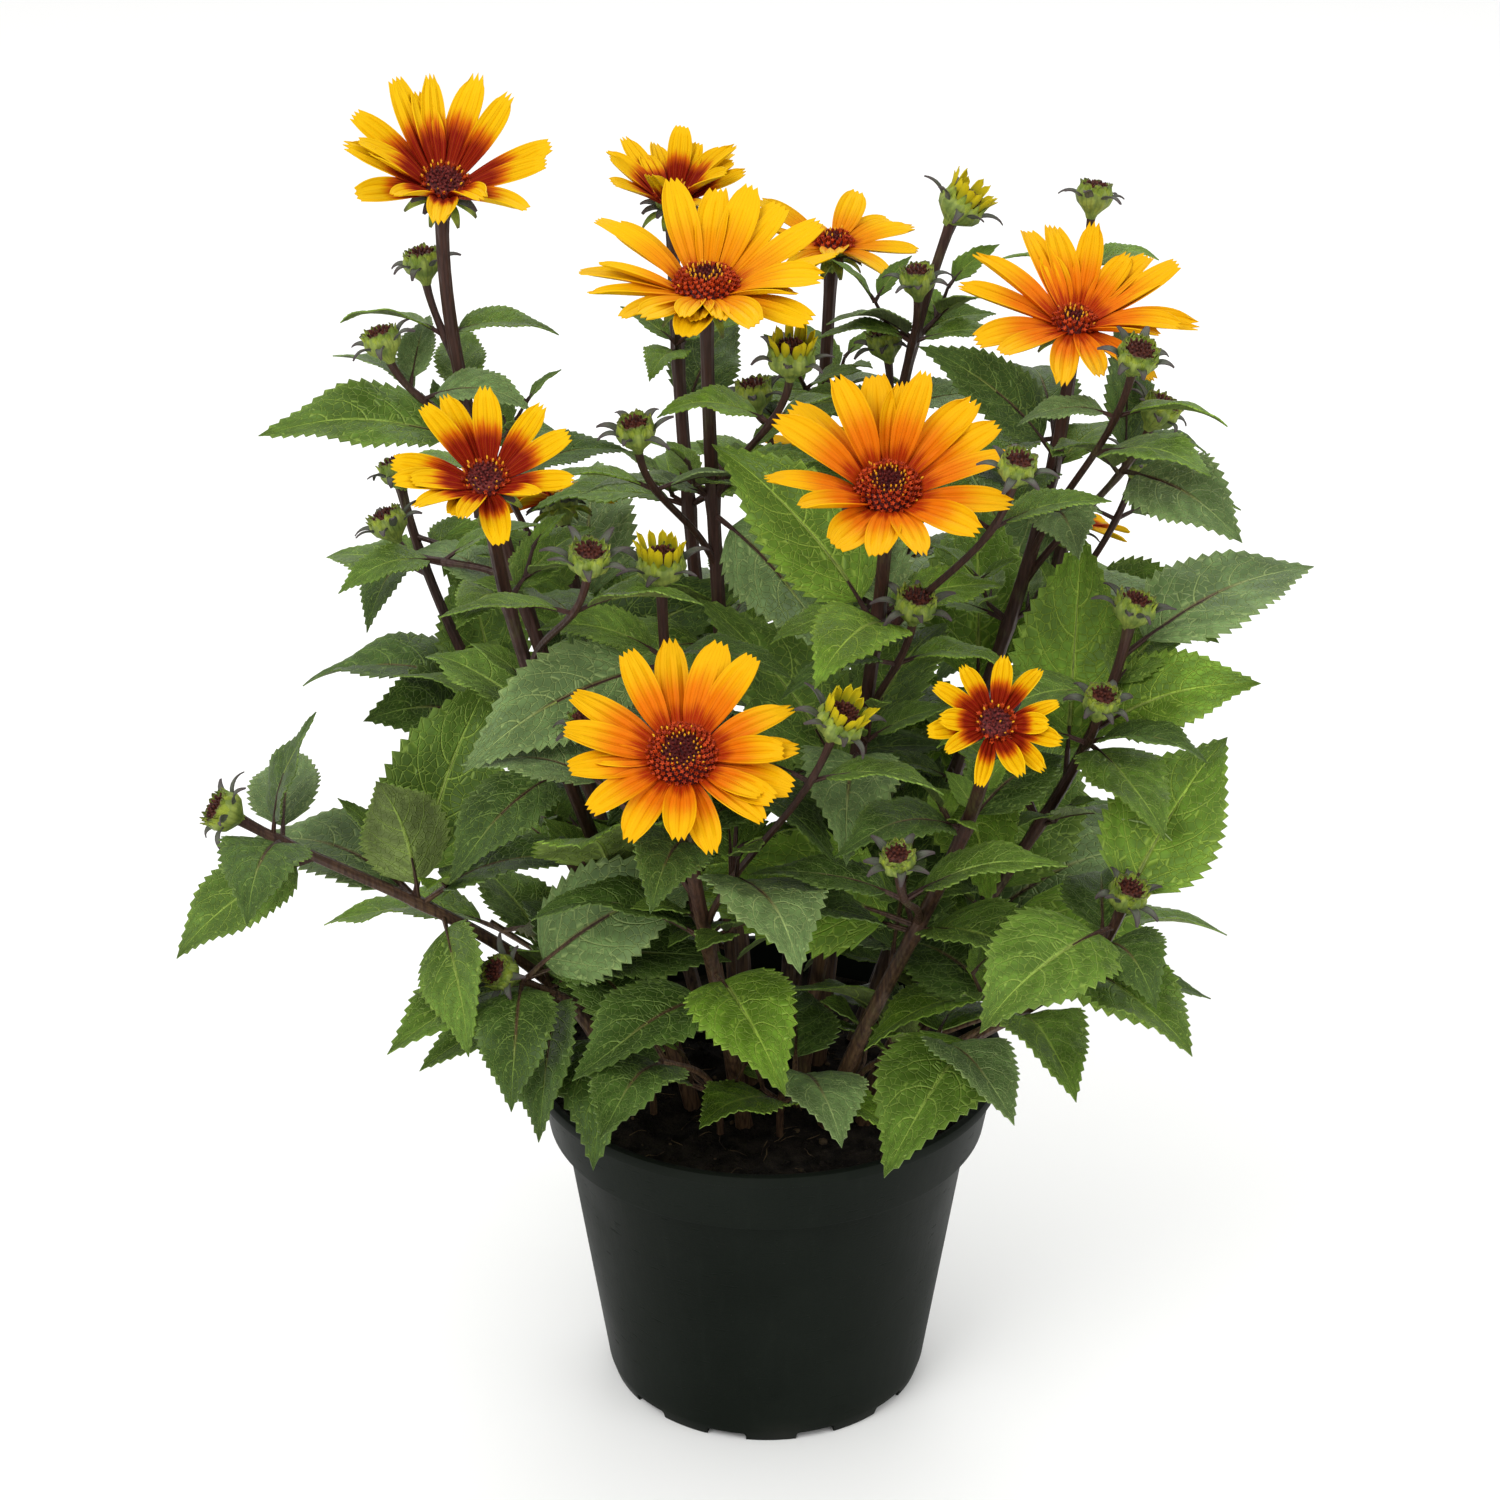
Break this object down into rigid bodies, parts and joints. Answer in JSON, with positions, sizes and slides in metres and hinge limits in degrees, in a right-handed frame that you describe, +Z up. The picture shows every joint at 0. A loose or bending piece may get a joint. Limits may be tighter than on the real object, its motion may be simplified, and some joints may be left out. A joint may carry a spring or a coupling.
{
  "type": "potted false sunflower",
  "caption": "Round tapered nursery pot filled with soil, with a clump of upright leafy stems that carry yellow and orange daisy flowers and round buds.",
  "frame": {"origin": "middle of the pot's underside, on the ground", "axes": "+Z up along the pot's axis; the front of the plant, with the most flowers facing out, is towards -Y; +X to its right"},
  "size_m": [0.3771, 0.3257, 0.4843],
  "materials": {
    "pot": "moulded, satin",
    "soil": "rough and fibrous",
    "stem": "ridged, satin",
    "leaf": "veined, matt"
  },
  "bodies": {
    "root": {"crown_a": "leaf", "crown_b": "leaf", "crown_c": "leaf", "crown_d": "leaf", "crown_e": "leaf", "crown_f": "leaf", "crown_g": "leaf", "crown_h": "leaf", "crown_i": "leaf", "crown_j": "leaf", "crown_l": "leaf", "crown_m": "leaf", "crown_n": "leaf", "crown_o": "leaf", "crown_p": "leaf", "crown_q": "leaf", "crown_r": "leaf", "crown_s": "leaf", "low_01": "leaf", "low_02": "leaf", "low_03": "leaf", "low_04": "leaf", "low_05": "leaf", "low_06": "leaf", "low_07": "leaf", "low_08": "leaf", "low_09": "leaf", "low_10": "leaf", "low_11": "leaf", "pot": "pot", "soil": "soil", "stem_a": "stem", "stem_b": "stem", "stem_c": "stem", "stem_d": "stem", "stem_e": "stem", "stem_f": "stem", "stem_g": "stem", "stem_h": "stem", "stem_i": "stem", "stem_j": "stem", "stem_l": "stem", "stem_m": "stem", "stem_n": "stem", "stem_o": "stem", "stem_p": "stem", "stem_q": "stem", "stem_r": "stem", "stem_s": "stem"}
  },
  "joints": []
}
